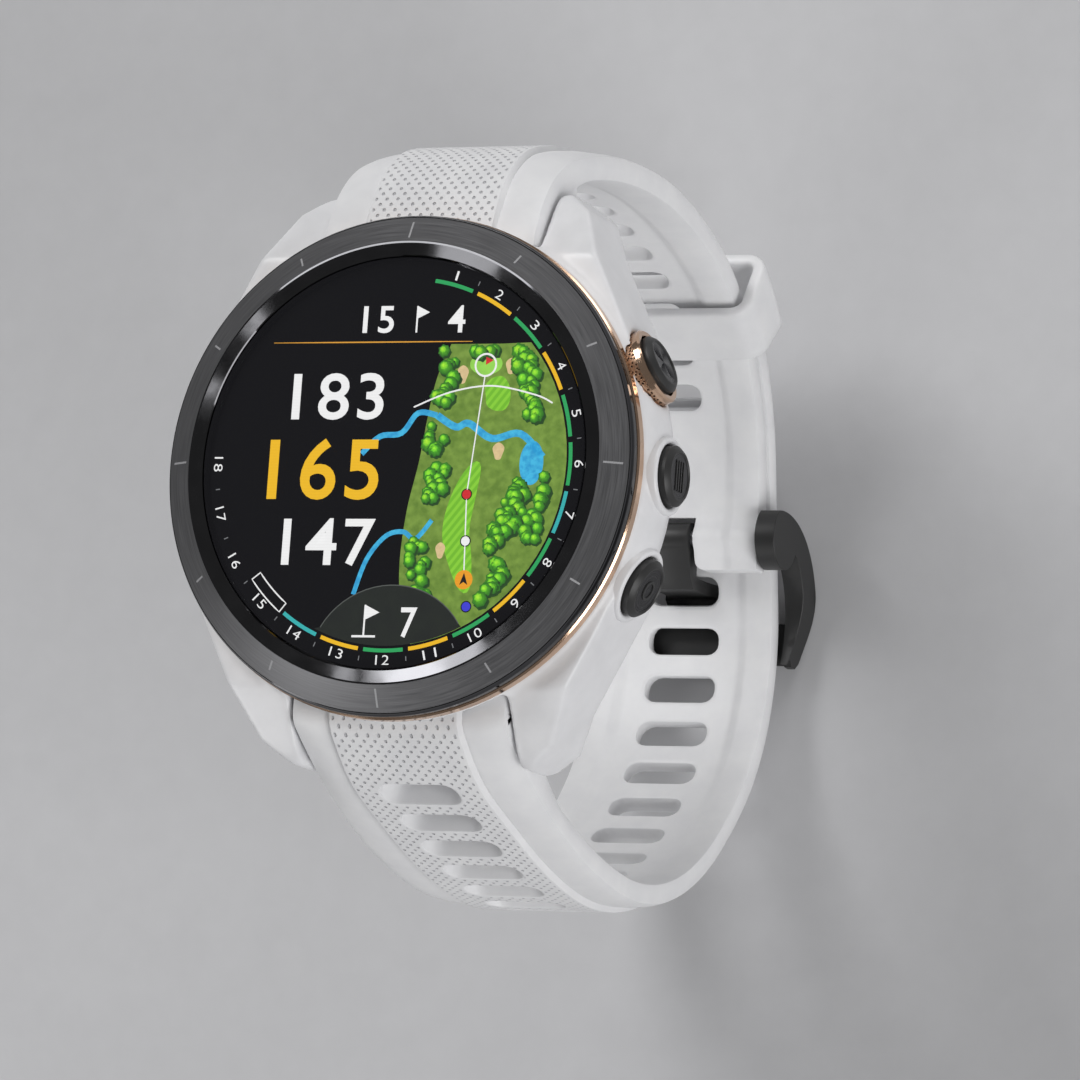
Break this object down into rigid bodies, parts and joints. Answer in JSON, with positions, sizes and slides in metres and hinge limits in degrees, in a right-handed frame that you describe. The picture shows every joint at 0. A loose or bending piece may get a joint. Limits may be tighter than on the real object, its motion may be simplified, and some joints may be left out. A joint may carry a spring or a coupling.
{
  "type": "golf gps watch",
  "caption": "Round golf GPS watch: graphite bezel, white case, side buttons and a buckled white silicone strap with a tang buckle and a keeper.",
  "frame": {"origin": "centre of the sensor window on the back, the face that lies on the wrist", "axes": "+Z out of the dial, +Y to 12 o'clock, +X to 3 o'clock, where the buttons are; the strap loop hangs towards -Z"},
  "size_m": [0.046, 0.0657, 0.0713],
  "materials": {
    "cover_glass": "clear, polished",
    "bezel_grey": "brushed cone, polished inner ring",
    "rose_trim": "satin rose gold",
    "case_white": "satin white",
    "back_cover": "fine matt",
    "sensor_glass": "dark, polished",
    "silicone_white": "soft matt silicone",
    "black_metal": "satin black",
    "steel": "brushed",
    "seal_rubber": "matt",
    "circuit_board": "solder mask",
    "battery_wrap": "foil",
    "display_black": "glossy",
    "led_green": "clear resin",
    "contact_gold": "polished",
    "inner_plastic": "moulded"
  },
  "bodies": {
    "watch_head": {"glass_lens": "cover_glass", "bezel_ring": "bezel_grey", "lens_gasket": "seal_rubber", "trim_ring": "rose_trim", "case_body": "case_white", "case_back": "back_cover", "back_gasket": "seal_rubber", "back_screws": "steel", "sensor_window": "sensor_glass", "sensor_board": "circuit_board", "sensor_leds": "led_green", "charge_port": "inner_plastic", "charge_pins": "contact_gold", "display_panel": "display_black", "chassis": "inner_plastic", "main_board": "circuit_board", "antenna_ring": "contact_gold", "battery": "battery_wrap", "vibration_motor": "steel", "button_switches": "steel", "button_seals": "seal_rubber", "textured_collar": "rose_trim", "button_spring_upper": "steel", "button_spring_middle": "steel", "button_spring_lower": "steel"},
    "upper_button": {"button_upper": "black_metal", "clip_upper": "steel"},
    "middle_button": {"button_middle": "black_metal", "clip_middle": "steel"},
    "lower_button": {"button_lower": "black_metal", "clip_lower": "steel"},
    "upper_band": {"upper_strap": "silicone_white", "spring_bar_upper": "steel", "release_spring_upper": "steel", "buckle_pin": "steel"},
    "lower_band": {"lower_strap": "silicone_white", "spring_bar_lower": "steel", "release_spring_lower": "steel"},
    "upper_release": {"release_pin_upper": "steel"},
    "lower_release": {"release_pin_lower": "steel"},
    "frame": {"buckle_frame": "black_metal"},
    "tongue": {"buckle_tongue": "black_metal"},
    "band_keeper": {"keeper": "silicone_white"}
  },
  "joints": [
    {"name": "upper_button_press", "type": "slide", "parent": "watch_head", "child": "upper_button", "axis": [-0.9092, -0.4163, 0], "range_m": [0, 0.0006], "stiffness_N_per_m": 900, "springref_m": -0.0006, "deforming": ["button_spring_upper"]},
    {"name": "middle_button_press", "type": "slide", "parent": "watch_head", "child": "middle_button", "axis": [-1, 0, 0], "range_m": [0, 0.0006], "stiffness_N_per_m": 900, "springref_m": -0.0006, "deforming": ["button_spring_middle"]},
    {"name": "lower_button_press", "type": "slide", "parent": "watch_head", "child": "lower_button", "axis": [-0.9092, 0.4163, 0], "range_m": [0, 0.0006], "stiffness_N_per_m": 900, "springref_m": -0.0006, "deforming": ["button_spring_lower"]},
    {"name": "upper_band_pivot", "type": "hinge", "parent": "watch_head", "child": "upper_band", "pos_m": [0, 0.0222, 0.0033], "axis": [1, 0, 0], "range_deg": [-0.3, 0.3]},
    {"name": "lower_band_pivot", "type": "hinge", "parent": "watch_head", "child": "lower_band", "pos_m": [0, -0.0222, 0.0033], "axis": [1, 0, 0], "range_deg": [-0.3, 0.3]},
    {"name": "upper_release_slide", "type": "slide", "parent": "upper_band", "child": "upper_release", "axis": [-1, 0, 0], "range_m": [0, 0.0014], "stiffness_N_per_m": 300, "springref_m": -0.001, "deforming": ["release_spring_upper"]},
    {"name": "lower_release_slide", "type": "slide", "parent": "lower_band", "child": "lower_release", "axis": [-1, 0, 0], "range_m": [0, 0.0014], "stiffness_N_per_m": 300, "springref_m": -0.001, "deforming": ["release_spring_lower"]},
    {"name": "frame_swing", "type": "hinge", "parent": "upper_band", "child": "frame", "pos_m": [0, 0.0042, -0.0492], "axis": [1, 0, 0], "range_deg": [-0.3, 3]},
    {"name": "tongue_swing", "type": "hinge", "parent": "upper_band", "child": "tongue", "pos_m": [0, 0.0042, -0.0492], "axis": [1, 0, 0], "range_deg": [-0.3, 3]},
    {"name": "keeper_slide", "type": "hinge", "parent": "upper_band", "child": "band_keeper", "pos_m": [0, 0.0062, -0.02678], "axis": [1, 0, 0], "range_deg": [-20, 8]}
  ],
  "couplings": [
    {"joint": "lower_band_pivot", "follows": "upper_band_pivot", "ratio": 1},
    {"joint": "tongue_swing", "follows": "frame_swing", "ratio": 1}
  ]
}
